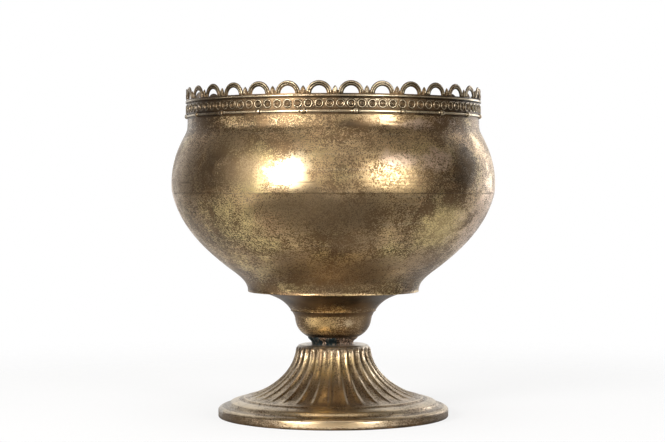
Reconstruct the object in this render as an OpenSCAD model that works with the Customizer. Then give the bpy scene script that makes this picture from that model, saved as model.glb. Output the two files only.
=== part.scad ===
// Pedestal flower pot in thin sheet metal, patinated brass.
// A two-shell bowl with a pierced gallery strip stands on a spun cup, a collar and a fluted foot.
// One long tie bolt holds the stack together from inside.
// The origin is the centre of the foot's resting face, and +Z is the axis of revolution.

/* [Bowl] */
// Widest diameter of the bowl
belly_d = 271.8; // [268:0.1:280]
// Height of the widest line above the seam between the shells
belly_rise = 7.4; // [5:0.1:12]
// How far the upper shell turns in below its widest line, on the radius
seam_tuck = 0.5; // [0.2:0.1:1.2]
// Height of the lower shell, from the bowl's floor to the seam
lower_h = 82.9; // [76:0.1:92]
// Height from the seam to the top of the shoulder
shoulder_rise = 49.2; // [45:0.1:56]
// Height of the neck, from the shoulder to the bowl's top edge
neck_h = 27.6; // [26:0.1:36]
// Outside diameter of the straight neck
neck_d = 245; // [238:0.1:250]
// How far the shoulder stands out from the neck, on the radius
shoulder_step = 1.85; // [1:0.05:3]
// Diameter of the bowl's flat floor
floor_d = 144; // [136:0.5:150]
// Radius of the outer end of the curve that rises from the floor
floor_blend_r = 83.6; // [82:0.1:88]
// Height of that curve above the floor
floor_blend_h = 16.8; // [14:0.1:19]
// Thickness of the bowl's sheet
bowl_wall = 1.2; // [0.8:0.1:1.6]
// Height of the lower shell's flange inside the upper shell
lap_h = 6; // [4:0.5:7]

/* [Gallery strip] */
// Number of arches round the rim
arch_count = 31; // [24:1:31]
// Angle of the first arch from the front, in degrees
arch_phase = 6.45; // [0:0.05:11.6]
// Outside radius of one arch
arch_r = 10.15; // [9.2:0.05:10.4]
// Radius of the opening under one arch
arch_hole_r = 6; // [4:0.05:6.4]
// Thickness of an arch at its two raised beads
arch_t = 0.9; // [0.7:0.05:0.95]
// Width of the bud between two arches
bud_w = 3.8; // [3:0.1:4]
// Height of the bud
bud_h = 6.2; // [5:0.1:8]
// Height of the round rail under the arches
rail_h = 2.3; // [2:0.1:3]
// How far the rail stands out from the strip's back
rail_t = 1.5; // [1.45:0.05:2]
// How far the rail stands above the bowl's top edge
rail_lift = 0.6; // [0.3:0.05:1]
// Height of the plain groove under the rail
groove_h = 1.1; // [0.8:0.1:2]
// Height of the band that carries the ringlets
band_h = 8.3; // [8:0.1:9.5]
// Thickness of the band's sheet
band_t = 0.55; // [0.4:0.05:0.8]
// Ringlets for each arch
ringlets_per_arch = 3; // [2:1:3]
// Middle radius of one ringlet
ringlet_r = 3; // [2.4:0.05:3.2]
// Width of the ringlet's raised bead
ringlet_w = 1.1; // [0.8:0.05:1.3]
// Height of the ringlet's bead above the band
ringlet_t = 0.7; // [0.5:0.05:0.9]
// Radius of the dot inside a ringlet
dot_r = 1.2; // [0.6:0.05:1.4]

/* [Knotted wire] */
// Height of the half-round wire under the strip
wire_h = 1.9; // [1.6:0.1:2.2]
// How far the wire stands out from the neck
wire_t = 1.3; // [1:0.05:1.6]
// Clear height between the wire and the strip
wire_gap = 1.2; // [1.15:0.05:1.5]
// Number of knots on the wire
knot_count = 20; // [8:1:30]
// Angle of the first knot from the front, in degrees
knot_phase = 8.1; // [0:0.1:18]
// Diameter of a knot's middle
knot_d = 4.2; // [3.4:0.1:4.2]
// Length of a knot along the wire
knot_l = 7.4; // [6:0.1:9]

/* [Pedestal cup] */
// Height of the spun cup between the collar and the bowl
cup_h = 38.3; // [34:0.1:44]
// Radius of the cup's flat base
cup_base_r = 20.6; // [19:0.1:22]
// Radius of the cup's waist
cup_waist_r = 32.9; // [31:0.1:35]
// Height of the waist above the cup's base
cup_waist_h = 18; // [16:0.1:20]
// Radius of the cup's rim under the bowl
cup_rim_r = 60.2; // [56:0.1:64]
// How far the bead above the waist stands out
cup_bead = 0.7; // [0.3:0.05:1.2]
// Thickness of the cup's sheet
cup_wall = 1.2; // [0.8:0.1:1.6]

/* [Neck collar] */
// Height of the collar between the foot and the cup
collar_h = 5.8; // [5:0.1:8]
// Radius of the collar at the foot
collar_r = 17; // [15.5:0.1:18]
// Wall of the collar at the foot
collar_wall = 4.2; // [3.8:0.1:6]
// Number of solder beads round the collar
tack_count = 8; // [4:1:12]
// Angle of the first solder bead from the front, in degrees
tack_phase = -50; // [-180:1:180]
// Radius of a solder bead
tack_r = 2.3; // [1.8:0.1:2.5]

/* [Foot] */
// Diameter of the foot
foot_d = 193.8; // [188:0.2:204]
// Height of the foot
foot_h = 60.6; // [54:0.1:68]
// Diameter of the foot's top
foot_top_d = 63.4; // [58:0.2:68]
// Radius of the rounding round the top
foot_round = 5.7; // [4:0.1:7]
// Diameter of the ring where the flutes end
flute_end_d = 149.4; // [144:0.2:152]
// Height of that ring above the table
flute_end_h = 16.3; // [15:0.1:18]
// Number of flutes
flute_count = 32; // [20:1:34]
// Angle of the first ridge from the front, in degrees
flute_phase = -2.5; // [-10:0.1:10]
// Depth of the channels between the ridges
flute_depth = 1.3; // [0.6:0.1:1.6]
// Distance from the foot's edge in to the rounded ring of its flange
flange_ring_in = 11.9; // [11:0.1:13]
// Height of that ring
flange_ring_h = 13.2; // [12.6:0.1:14]
// Distance from the foot's edge in to the groove behind its lip
lip_in = 6.4; // [5:0.1:7]
// Height of the groove behind the lip
lip_h = 9.5; // [8.6:0.1:10.4]
// Thickness of the foot's sheet
foot_wall = 1.2; // [0.8:0.1:1.4]
// Width of the hem turned in under the foot
hem_w = 8.5; // [6:0.1:14]

/* [Tie bolt] */
// Diameter of the tie bolt
bolt_d = 6; // [5:0.1:8]
// Clearance round the bolt in the sheets, on the radius
bolt_clear = 0.3; // [0.2:0.05:0.6]
// Width of the bolt's head and of the nut across their flats
hex_w = 10; // [9.5:0.1:13]
// Height of the bolt's head
head_h = 4; // [3:0.1:6]
// Height of the nut
nut_h = 5; // [4:0.1:7]
// How far the bolt stands out below the nut
bolt_tail = 4; // [2:0.1:10]
// Radius of the rubber seal in the bowl
seal_r = 10.5; // [9:0.1:14]
// Thickness of the rubber seal
seal_t = 1.6; // [1:0.1:3]
// Radius of the two flat washers
washer_r = 9; // [8.2:0.1:13]
// Thickness of a flat washer
washer_t = 1.2; // [0.8:0.1:2]
// Radius of the split lock washer
lock_r = 6.2; // [5.8:0.1:8]
// Thickness of the lock washer
lock_t = 1.5; // [1:0.1:2]
// Width of the split in the lock washer
lock_slit = 1.2; // [0.8:0.1:2]

/* [Hidden] */
$fn = 128;

// Radial clearance between sheets that are pushed into each other
fit = 0.05;
// How far a cutting tool passes the face that it cuts
past = 1;
// Steps along one Bezier curve
steps = 10;
// How deep a small ornament is rooted in the sheet behind it
root = 0.25;

belly_r = belly_d / 2;
seam_r = belly_r - seam_tuck;
neck_r = neck_d / 2;
floor_r = floor_d / 2;
foot_r = foot_d / 2;
foot_top_r = foot_top_d / 2;
flute_end_r = flute_end_d / 2;
bolt_r = bolt_d / 2;
bolt_hole_r = bolt_r + bolt_clear;

// Heights stack up from the table
cup_z = foot_h + collar_h;
floor_z = cup_z + cup_h;
seam_z = floor_z + lower_h;
belly_z = seam_z + belly_rise;
shoulder_z = seam_z + shoulder_rise;
bowl_top_z = shoulder_z + neck_h;

// The gallery hangs down from the bowl's top edge
rail_top_z = bowl_top_z + rail_lift;
rail_z = rail_top_z - rail_h;
groove_z = rail_z - groove_h;
band_z = groove_z - band_h;
wire_z = band_z - wire_gap - wire_h / 2;
strip_r = neck_r + fit;
ringlet_count = arch_count * ringlets_per_arch;

// A point on a cubic Bezier curve
function bezier_point(a, b, c, d, t) =
    pow(1 - t, 3) * a + 3 * t * pow(1 - t, 2) * b + 3 * t * t * (1 - t) * c + pow(t, 3) * d;

// The points of a cubic Bezier curve, without its last point
function bezier(a, b, c, d, n = steps) =
    [for (i = [0 : n - 1]) bezier_point(a, b, c, d, i / n)];

// The points of an arc from one angle to another, both ends included
function arc(centre, r, from, to, n = 6) =
    [for (i = [0 : n]) centre + r * [cos(from + (to - from) * i / n), sin(from + (to - from) * i / n)]];

function unit(v) = v / norm(v);

// The left-hand normal of a path at one of its points
function left_normal(path, i) =
    let (last = len(path) - 1)
    let (d = unit(path[min(i + 1, last)] - path[max(i - 1, 0)]))
    [-d[1], d[0]];

// The same path moved sideways by a sheet's thickness
function inset(path, t) =
    [for (i = [0 : len(path) - 1]) path[i] + t * left_normal(path, i)];

function reverse(list) = [for (i = [len(list) - 1 : -1 : 0]) list[i]];

// Outline of the upper shell from the seam up to its top edge
upper_path = concat(
    bezier([seam_r, seam_z], [seam_r + seam_tuck * 0.7, seam_z + belly_rise * 0.35],
        [belly_r, belly_z - belly_rise * 0.35], [belly_r, belly_z], 5),
    bezier([belly_r, belly_z], [belly_r, belly_z + (shoulder_z - belly_z) * 0.38],
        [neck_r + shoulder_step + (belly_r - neck_r - shoulder_step) * 0.66,
            shoulder_z - (shoulder_z - belly_z) * 0.335],
        [neck_r + shoulder_step, shoulder_z], 16),
    bezier([neck_r + shoulder_step, shoulder_z], [neck_r + shoulder_step * 0.46, shoulder_z + 1.8],
        [neck_r, shoulder_z + 4.5], [neck_r, shoulder_z + 8.2], 6),
    [[neck_r, shoulder_z + 8.2], [neck_r, bowl_top_z]]);

// Outline of the lower shell from its floor's edge up to the seam
floor_edge = 0.8;
blend_top = [floor_blend_r, floor_z + floor_blend_h];
lower_path = concat(
    arc([floor_r - floor_edge, floor_z + floor_edge], floor_edge, -90, 0, 4),
    bezier([floor_r + 0.3, floor_z + 3], [floor_r + 1.2, floor_z + 8.3],
        [floor_blend_r - 6.5, floor_z + floor_blend_h - 5.2], blend_top, 8),
    bezier(blend_top, [seam_r - 15.4, floor_z + lower_h * 0.52],
        [seam_r - 4.5, floor_z + lower_h * 0.78], [seam_r, seam_z], 20),
    [[seam_r, seam_z]]);

// Outline of the cup from its base up to its rim
cup_waist_z = cup_z + cup_waist_h;
cup_path = concat(
    bezier([cup_base_r, cup_z], [cup_waist_r - 0.4, cup_z + 5.4],
        [cup_waist_r - 1.4, cup_waist_z - 4], [cup_waist_r, cup_waist_z], 12),
    [[cup_waist_r, cup_waist_z]],
    [[cup_waist_r + 1.7, cup_waist_z + 3]],
    arc([cup_waist_r + 3, cup_waist_z + 4.6], cup_bead, -60, 60, 4),
    bezier([cup_waist_r + 4.2, cup_waist_z + 6.2], [cup_waist_r + 9.5, cup_waist_z + 14],
        [cup_rim_r - 11, floor_z - 4.2], [cup_rim_r, floor_z], 12),
    [[cup_rim_r, floor_z]]);

// Outline of the foot from its flat top down to its lip, as radius, height and flute depth
flare_top = [foot_top_r, foot_h - foot_round];
flute_end = [flute_end_r, flute_end_h];
flare_path = bezier(
    flare_top, [foot_top_r + 3.7, flute_end_h + (foot_h - foot_round - flute_end_h) * 0.42],
    [flute_end_r - 15.5, flute_end_h + 3.4], flute_end, 15);
round_path = arc([foot_top_r - foot_round, foot_h - foot_round], foot_round, 90, 15, 4);
ring_top = [foot_r - flange_ring_in, flange_ring_h];
lip_groove = [foot_r - lip_in, lip_h];
flange_path = concat(
    bezier(flute_end, [flute_end_r + 1.5, flute_end_h - 0.3],
        [flute_end_r + 1.9, flute_end_h - 1.4], [flute_end_r + 3.9, flute_end_h - 1.5], 3),
    bezier([flute_end_r + 3.9, flute_end_h - 1.5], [flute_end_r + 6.3, flute_end_h - 1.6],
        ring_top + [-2.5, 0.8], ring_top, 3),
    bezier(ring_top, ring_top + [2.6, -0.8], lip_groove + [-2.6, 0.3], lip_groove, 4),
    bezier(lip_groove, lip_groove + [2.8, -0.5], [foot_r, lip_h * 0.74], [foot_r, lip_h * 0.4], 5),
    [[foot_r, lip_h * 0.4], [foot_r, 0.6], [foot_r - 0.5, 0]]);

// Share of the full flute depth at a share of the way down the flare
function flute_fade(u) = min(1, u * 6, (1 - u) * 9);

// Each ring of the foot: its point, its normal and its flute depth
foot_rings = concat(
    [for (p = round_path) [p, 0]],
    [for (i = [1 : len(flare_path) - 1]) [flare_path[i], flute_depth * flute_fade(i / len(flare_path))]],
    [for (p = flange_path) [p, 0]]);

// Places across one flute, as a share of its width, and how deep the channel is there
flute_places = [[0, 0], [0.16, 0.62], [0.5, 1], [0.84, 0.62]];
around = flute_count * len(flute_places);

function foot_point(ring, k) =
    let (place = flute_places[k % len(flute_places)])
    let (turn = flute_phase + 360 / flute_count * (floor(k / len(flute_places)) + place[0]))
    let (path = [for (f = foot_rings) f[0]])
    let (p = foot_rings[ring][0] - left_normal(path, ring) * foot_rings[ring][1] * place[1])
    [p[0] * sin(turn), -p[0] * cos(turn), p[1]];

foot_points = [for (ring = [0 : len(foot_rings) - 1]) for (k = [0 : around - 1]) foot_point(ring, k)];

foot_faces = concat(
    [reverse([for (k = [0 : around - 1]) k])],
    [[for (k = [0 : around - 1]) (len(foot_rings) - 1) * around + k]],
    [for (ring = [0 : len(foot_rings) - 2]) for (k = [0 : around - 1])
        let (a = ring * around + k)
        let (b = ring * around + (k + 1) % around)
        [a, b, b + around]],
    [for (ring = [0 : len(foot_rings) - 2]) for (k = [0 : around - 1])
        let (a = ring * around + k)
        let (b = ring * around + (k + 1) % around)
        [a, b + around, a + around]]);

// A sheet spun to a path, with its thickness on the left of the path
module spun_sheet(path, wall) {
    rotate_extrude()
        polygon(concat(path, reverse(inset(path, wall))));
}

// A flat ring
module ring(outer_r, inner_r, h) {
    difference() {
        cylinder(r = outer_r, h = h);
        translate([0, 0, -past])
            cylinder(r = inner_r, h = h + 2 * past);
    }
}

// Places a child on the outside of a round wall, facing out, at an angle from the front
module on_wall(turn, r, z) {
    rotate([0, 0, turn])
        translate([0, -r, z])
            rotate([90, 0, 0])
                children();
}

module fluted_foot() {
    deep = foot_wall + flute_depth;
    inner = concat(
        [[0, foot_h - foot_wall]],
        [[foot_top_r - foot_round, foot_h - foot_wall]],
        [for (i = [0 : 3 : len(flare_path) - 1]) flare_path[i] - deep * left_normal(flare_path, i)],
        [flute_end + [0, -deep]],
        [ring_top + [0, -foot_wall * 1.25]],
        [lip_groove + [-1, -foot_wall * 1.4]],
        [[foot_r - foot_wall, lip_h * 0.4]],
        [[foot_r - foot_wall, foot_wall]],
        [[foot_r - hem_w, foot_wall]],
        [[foot_r - hem_w, -past]],
        [[0, -past]]);
    color("#8c6e48")
        difference() {
            polyhedron(foot_points, foot_faces);
            rotate_extrude()
                polygon(inner);
            translate([0, 0, foot_h - foot_wall - past])
                cylinder(r = bolt_hole_r, h = foot_wall + 2 * past);
        }
}

module neck_collar() {
    color("#5f4c33")
        rotate_extrude()
            polygon([
                [collar_r, foot_h],
                [collar_r, foot_h + collar_h * 0.45],
                [cup_base_r - 0.6, cup_z - collar_h * 0.22],
                [cup_base_r, cup_z],
                [collar_r - collar_wall, cup_z],
                [collar_r - collar_wall, foot_h]]);
}

module collar_tacks() {
    rise = tack_r * 0.35;
    color("#6b6a5c")
        for (i = [0 : tack_count - 1])
            rotate([0, 0, tack_phase + i * 360 / tack_count])
                difference() {
                    translate([0, -collar_r - tack_r * 0.4, foot_h + rise])
                        sphere(r = tack_r, $fn = 32);
                    translate([0, 0, foot_h - past])
                        cylinder(r = collar_r + fit, h = collar_h + 2 * past);
                    translate([-tack_r * 2, -collar_r - tack_r * 2, foot_h - tack_r * 2])
                        cube([tack_r * 4, tack_r * 4, tack_r * 2]);
                }
}

module pedestal_cup() {
    inner = inset(cup_path, cup_wall);
    color("#7a5c36")
        rotate_extrude()
            polygon(concat(
                [[bolt_hole_r, cup_z]],
                cup_path,
                [for (p = reverse(inner)) [p[0], min(max(p[1], cup_z + cup_wall), floor_z)]],
                [[bolt_hole_r, cup_z + cup_wall]]));
}

module bowl_lower_shell() {
    lap_r = seam_r - bowl_wall - fit;
    inner = inset(lower_path, bowl_wall);
    color("#6e4f2c")
        rotate_extrude()
            polygon(concat(
                [[bolt_hole_r, floor_z]],
                lower_path,
                [[lap_r, seam_z]],
                [[lap_r, seam_z + lap_h]],
                [[lap_r - bowl_wall, seam_z + lap_h]],
                [[lap_r - bowl_wall, seam_z - bowl_wall]],
                [for (p = reverse(inner)) if (p[1] < seam_z - 2.5 * bowl_wall && p[1] > floor_z + bowl_wall * 1.02) p],
                [[floor_r - floor_edge - bowl_wall, floor_z + bowl_wall]],
                [[bolt_hole_r, floor_z + bowl_wall]]));
}

module bowl_upper_shell() {
    inner = inset(upper_path, bowl_wall);
    last = len(inner) - 1;
    color("#8f7048")
        rotate_extrude()
            polygon(concat(
                upper_path,
                [[neck_r - bowl_wall, bowl_top_z]],
                [for (i = [last - 1 : -1 : 1]) inner[i]],
                [[seam_r - bowl_wall, seam_z]]));
}

// One arch with two raised beads and a sunk line between them
module arch() {
    thin = arch_t * 0.55;
    w = arch_r - arch_hole_r;
    rotate_extrude(angle = 180, $fn = 48)
        polygon([
            [arch_hole_r, 0],
            [arch_hole_r, thin],
            [arch_hole_r + w * 0.12, arch_t],
            [arch_hole_r + w * 0.34, arch_t],
            [arch_hole_r + w * 0.5, thin],
            [arch_hole_r + w * 0.66, arch_t],
            [arch_hole_r + w * 0.88, arch_t],
            [arch_r, thin],
            [arch_r, 0]]);
}

// The pointed bud between two arches, flat at its back
module bud() {
    half = bud_w / 2;
    rotate([-90, 0, 0])
        rotate([0, 0, 180])
            rotate_extrude(angle = 180, $fn = 24)
                polygon([
                    [0, 0],
                    [half * 0.55, 0],
                    [half * 0.9, bud_h * 0.24],
                    [half, bud_h * 0.42],
                    [half * 0.72, bud_h * 0.7],
                    [half * 0.3, bud_h * 0.92],
                    [0, bud_h]]);
}

// One ringlet with its dot
module ringlet() {
    translate([0, 0, -root]) {
        rotate_extrude($fn = 32)
            polygon([
                [ringlet_r - ringlet_w / 2, 0],
                [ringlet_r - ringlet_w / 4, root + ringlet_t],
                [ringlet_r + ringlet_w / 4, root + ringlet_t],
                [ringlet_r + ringlet_w / 2, 0]]);
        cylinder(r = dot_r, h = root + ringlet_t * 0.8, $fn = 24);
    }
}

module gallery_strip() {
    band_r = strip_r + band_t;
    rail_mid = rail_z + rail_h / 2;
    ringlet_z = band_z + band_h / 2;
    color("#96774c") {
        rotate_extrude()
            polygon([
                [strip_r, groove_z],
                [band_r - 0.1, groove_z],
                [band_r - 0.1, rail_z],
                [strip_r + rail_t * 0.8, rail_z + rail_h * 0.1],
                [strip_r + rail_t, rail_mid],
                [strip_r + rail_t * 0.95, rail_top_z],
                [strip_r, rail_top_z]]);
        // The band has one small flat for each ringlet
        translate([0, 0, band_z])
            linear_extrude(band_h)
                difference() {
                    polygon([for (i = [0 : ringlet_count - 1])
                        let (turn = arch_phase + (i + 0.5) * 360 / ringlet_count)
                        band_r / cos(180 / ringlet_count) * [sin(turn), -cos(turn)]]);
                    circle(r = strip_r, $fn = 360);
                }
        for (i = [0 : arch_count - 1]) {
            on_wall(arch_phase + i * 360 / arch_count, neck_r, rail_top_z - root)
                arch();
            on_wall(arch_phase + (i + 0.5) * 360 / arch_count, strip_r + root, rail_top_z - root)
                bud();
        }
        for (i = [0 : ringlet_count - 1])
            on_wall(arch_phase + i * 360 / ringlet_count, band_r, ringlet_z)
                ringlet();
    }
}

module knotted_wire() {
    half_h = wire_h / 2;
    wire_mid = neck_r + fit + wire_t / 2;
    color("#8a6c42") {
        rotate_extrude()
            polygon([
                [neck_r + fit, wire_z - half_h],
                [wire_mid, wire_z - half_h * 0.92],
                [neck_r + fit + wire_t * 0.92, wire_z - half_h * 0.45],
                [neck_r + fit + wire_t, wire_z],
                [neck_r + fit + wire_t * 0.92, wire_z + half_h * 0.45],
                [wire_mid, wire_z + half_h * 0.92],
                [neck_r + fit, wire_z + half_h]]);
        difference() {
            for (i = [0 : knot_count - 1])
                rotate([0, 0, knot_phase + i * 360 / knot_count])
                    translate([0, -wire_mid, wire_z])
                        knot();
            translate([0, 0, wire_z - knot_d])
                cylinder(r = neck_r + fit, h = knot_d * 2);
        }
    }
}

// A turned knot: a round middle between two smaller beads
module knot() {
    mid_r = knot_d / 2;
    bead_r = knot_d * 0.3;
    half_l = knot_l / 2;
    rotate([0, 90, 0])
        rotate_extrude($fn = 32)
            polygon([
                [0, -half_l],
                [bead_r * 0.8, -half_l],
                [bead_r, -half_l * 0.76],
                [bead_r * 0.8, -half_l * 0.5],
                [mid_r * 0.9, -half_l * 0.36],
                [mid_r, 0],
                [mid_r * 0.9, half_l * 0.36],
                [bead_r * 0.8, half_l * 0.5],
                [bead_r, half_l * 0.76],
                [bead_r * 0.8, half_l],
                [0, half_l]]);
}

// Heights of the hardware on the tie bolt
seal_z = floor_z + bowl_wall;
bowl_washer_z = seal_z + seal_t;
head_z = bowl_washer_z + washer_t;
foot_washer_z = foot_h - foot_wall - washer_t;
lock_z = foot_washer_z - lock_t;
nut_z = lock_z - nut_h;

// Radius of a hexagon from its width across the flats
function hex_r(w) = w / 2 / cos(30);

module tie_bolt() {
    tip = bolt_r * 0.25;
    color("#9a9a98") {
        translate([0, 0, head_z])
            cylinder(r = hex_r(hex_w), h = head_h, $fn = 6);
        translate([0, 0, nut_z - bolt_tail])
            cylinder(r1 = bolt_r - tip, r2 = bolt_r, h = tip);
        translate([0, 0, nut_z - bolt_tail + tip])
            cylinder(r = bolt_r, h = head_z - nut_z + bolt_tail - tip + head_h / 2);
    }
}

module bowl_seal() {
    color("#2b2b2b")
        translate([0, 0, seal_z])
            ring(seal_r, bolt_r + fit, seal_t);
}

module bowl_washer() {
    color("#a0a09c")
        translate([0, 0, bowl_washer_z])
            ring(washer_r, bolt_r + fit, washer_t);
}

module foot_washer() {
    color("#a0a09c")
        translate([0, 0, foot_washer_z])
            ring(washer_r, bolt_r + fit, washer_t);
}

module lock_washer() {
    color("#7f7f7c")
        translate([0, 0, lock_z])
            difference() {
                ring(lock_r, bolt_r + fit, lock_t);
                translate([0, -lock_slit / 2, -past])
                    cube([lock_r * 2, lock_slit, lock_t + 2 * past]);
            }
}

module foot_nut() {
    color("#9a9a98")
        translate([0, 0, nut_z])
            difference() {
                cylinder(r = hex_r(hex_w), h = nut_h, $fn = 6);
                translate([0, 0, -past])
                    cylinder(r = bolt_r + fit, h = nut_h + 2 * past);
            }
}

fluted_foot();
neck_collar();
collar_tacks();
pedestal_cup();
bowl_lower_shell();
bowl_upper_shell();
gallery_strip();
knotted_wire();
tie_bolt();
bowl_seal();
bowl_washer();
foot_washer();
lock_washer();
foot_nut();
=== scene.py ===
import math

import bpy
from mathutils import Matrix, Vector, noise


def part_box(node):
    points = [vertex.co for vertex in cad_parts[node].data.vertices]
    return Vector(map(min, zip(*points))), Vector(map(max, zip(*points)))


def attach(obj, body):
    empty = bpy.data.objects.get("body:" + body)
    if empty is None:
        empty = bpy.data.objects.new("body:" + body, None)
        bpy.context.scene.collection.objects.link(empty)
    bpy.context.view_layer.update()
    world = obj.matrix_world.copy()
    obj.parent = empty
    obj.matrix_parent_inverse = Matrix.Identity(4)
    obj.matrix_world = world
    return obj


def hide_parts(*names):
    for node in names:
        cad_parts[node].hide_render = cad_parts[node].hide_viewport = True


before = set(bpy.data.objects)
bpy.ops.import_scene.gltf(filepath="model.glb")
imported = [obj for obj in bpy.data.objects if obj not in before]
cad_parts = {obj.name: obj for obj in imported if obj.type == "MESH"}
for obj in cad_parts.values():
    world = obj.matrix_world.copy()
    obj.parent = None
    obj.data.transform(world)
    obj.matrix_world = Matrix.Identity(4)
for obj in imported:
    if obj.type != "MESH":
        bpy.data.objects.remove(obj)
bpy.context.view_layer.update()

MM = 0.001
BODY = "root"


# Sizes in millimetres, read from the frame

def bottom_of(node):
    """Lowest Z of a CAD node."""
    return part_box(node)[0][2] / MM


def top_of(node):
    """Highest Z of a CAD node."""
    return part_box(node)[1][2] / MM


def radius_of(node):
    """Outer radius of a round CAD node."""
    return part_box(node)[1][0] / MM


FOOT_H = top_of("fluted_foot")
FOOT_R = radius_of("fluted_foot")
COLLAR_Z = bottom_of("neck_collar")
CUP_Z = bottom_of("pedestal_cup")
FLOOR_Z = bottom_of("bowl_lower_shell")
CUP_RIM_R = radius_of("pedestal_cup")
SEAM_Z = bottom_of("bowl_upper_shell")
SEAM_R = radius_of("bowl_lower_shell")
BELLY_R = radius_of("bowl_upper_shell")
BOWL_TOP_Z = top_of("bowl_upper_shell")
BAND_Z = bottom_of("gallery_strip")
GALLERY_TOP_Z = top_of("gallery_strip")

# Sizes and counts that the frame's boxes don't hold. Phases and shifts are in degrees
NECK_R = 122.5
SHEET = 1.2
BOLT_HOLE_R = 3.35
BELLY_RISE = 7.4
SHOULDER_Z = SEAM_Z + 49.2
SHOULDER_STEP = 1.85
BOWL_FLOOR_R = 72.0
FLOOR_BLEND_R = 83.6
FLOOR_BLEND_H = 16.8
LAP_H = 6.0
LAP_GAP = 0.06
CUP_WAIST_H = 18.0

ARCH_COUNT = 31
ARCH_PHASE = 6.45
ARCH_R = 10.15
ARCH_HOLE_R = 6.0
RINGLETS_PER_ARCH = 3
RINGLET_R = 3.0
BAND_H = 8.3
RAIL_TOP_Z = BOWL_TOP_Z + 0.6
RAIL_Z = RAIL_TOP_Z - 2.3
BUD_SUNK = 0.25
STRIP_R = NECK_R + 0.05
BAND_R = STRIP_R + 0.55

WIRE_Z = (bottom_of("knotted_wire") + top_of("knotted_wire")) / 2
KNOT_COUNT = 20
KNOT_PHASE = 8.1
KNOT_SHIFT = {18: -0.6, 19: -1.1}

FLUTE_COUNT = 32
POINTS_PER_FLUTE = 20
FLUTE_PHASE = -2.5
FLUTE_DEPTH = 1.3
FOOT_TOP_R = 31.7
FOOT_ROUND = 5.7
FLUTE_END = (74.7, 16.3)
HEM_W = 8.5

BOWL_SEGMENTS = 512
CUP_SEGMENTS = 256
STRIP_SEGMENTS = 20 * ARCH_COUNT
INSIDE_WEAR = 0.3


# Profiles

def bezier(a, b, c, d, n):
    """Points of a cubic Bezier curve, without its last point."""
    points = []
    for i in range(n):
        t = i / n
        s = 1 - t
        points.append(tuple(s**3 * p + 3 * s * s * t * q + 3 * s * t * t * u + t**3 * v
                            for p, q, u, v in zip(a, b, c, d)))
    return points


def arc(centre, r, start, end, n):
    """Points of an arc between two angles in degrees, both ends included."""
    points = []
    for i in range(n + 1):
        a = math.radians(start + (end - start) * i / n)
        points.append((centre[0] + r * math.cos(a), centre[1] + r * math.sin(a)))
    return points


def left_normal(path, i):
    """Unit normal on the left of a path at one of its points."""
    x0, z0 = path[max(i - 1, 0)]
    x1, z1 = path[min(i + 1, len(path) - 1)]
    length = math.hypot(x1 - x0, z1 - z0)
    return -(z1 - z0) / length, (x1 - x0) / length


def inset(path, t):
    """The same path moved to its left by t."""
    moved = []
    for i, (r, z) in enumerate(path):
        nr, nz = left_normal(path, i)
        moved.append((r + t * nr, z + t * nz))
    return moved


def smooth(t):
    """Smooth step from 0 to 1."""
    t = min(max(t, 0.0), 1.0)
    return t * t * (3 - 2 * t)


# Mesh building

class Shape:
    """Collects vertices, faces and how worn each vertex is, in millimetres. In places the wear also
    holds painted shade and painted reflection.
    """

    def __init__(self):
        self.points = []
        self.faces = []
        self.wear = []

    def grid(self, rows, wear, wrap_rows=False):
        """Adds closed rows of points. wear holds one value or one list for each row."""
        base = len(self.points)
        columns = len(rows[0])
        for row, value in zip(rows, wear):
            self.points.extend(row)
            self.wear.extend(value if isinstance(value, list) else [value] * columns)
        for i in range(len(rows) - (0 if wrap_rows else 1)):
            for j in range(columns):
                a = base + i * columns + j
                b = base + i * columns + (j + 1) % columns
                c = base + (i + 1) % len(rows) * columns + (j + 1) % columns
                d = base + (i + 1) % len(rows) * columns + j
                self.faces.append((a, b, c, d))

    def cap(self, ring, worn, flip=False):
        """Closes a ring of points with a fan round its middle."""
        base = len(self.points)
        middle = tuple(sum(p[k] for p in ring) / len(ring) for k in range(3))
        self.points.extend(ring)
        self.points.append(middle)
        self.wear.extend([worn] * (len(ring) + 1))
        hub = base + len(ring)
        for j in range(len(ring)):
            a, b = base + j, base + (j + 1) % len(ring)
            self.faces.append((hub, b, a) if flip else (hub, a, b))

    def build(self, name, sharp=40):
        """Makes the Blender object, in metres, with smooth faces and sharp corners."""
        mesh = bpy.data.meshes.new(name)
        mesh.from_pydata([Vector(p) * MM for p in self.points], [], self.faces)
        attribute = mesh.attributes.new("wear", "FLOAT", "POINT")
        attribute.data.foreach_set("value", self.wear)
        mesh.validate()
        piece = bpy.data.objects.new(name, mesh)
        bpy.context.scene.collection.objects.link(piece)
        merge = piece.modifiers.new("merge", "WELD")
        merge.merge_threshold = 0.00001
        apply_modifiers(piece)
        piece.data.shade_smooth()
        piece.data.set_sharp_from_angle(angle=math.radians(sharp))
        return piece


def apply_modifiers(piece):
    """Writes a piece's modifiers into its mesh."""
    graph = bpy.context.evaluated_depsgraph_get()
    mesh = bpy.data.meshes.new_from_object(piece.evaluated_get(graph))
    piece.modifiers.clear()
    piece.data = mesh


def around(r, z, turn):
    """Point at a radius and height, at an angle in radians from the front."""
    return (r * math.sin(turn), -r * math.cos(turn), z)


def dent(point, size, depth):
    """Inward unevenness of hand-worked sheet, from 0 to depth."""
    value = noise.noise(Vector(point) / size)
    fine = noise.noise(Vector(point) / (size * 0.37) + Vector((7.3, 1.9, 4.4)))
    return depth * (0.5 + 0.42 * value + 0.2 * fine)


def lathe(shape, path, segments, wear, uneven=None):
    """Spins a closed path. uneven is (size, depth) of the sheet's dents."""
    rows = []
    for i, (r, z) in enumerate(path):
        nr, nz = left_normal(path, i)
        row = []
        for k in range(segments):
            turn = 2 * math.pi * k / segments
            shift = dent(around(r, z, turn), *uneven) if uneven else 0.0
            row.append(around(r + shift * nr, z + shift * nz, turn))
        rows.append(row)
    shape.grid(rows, wear, wrap_rows=True)


# Profiles of the shells

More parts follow.
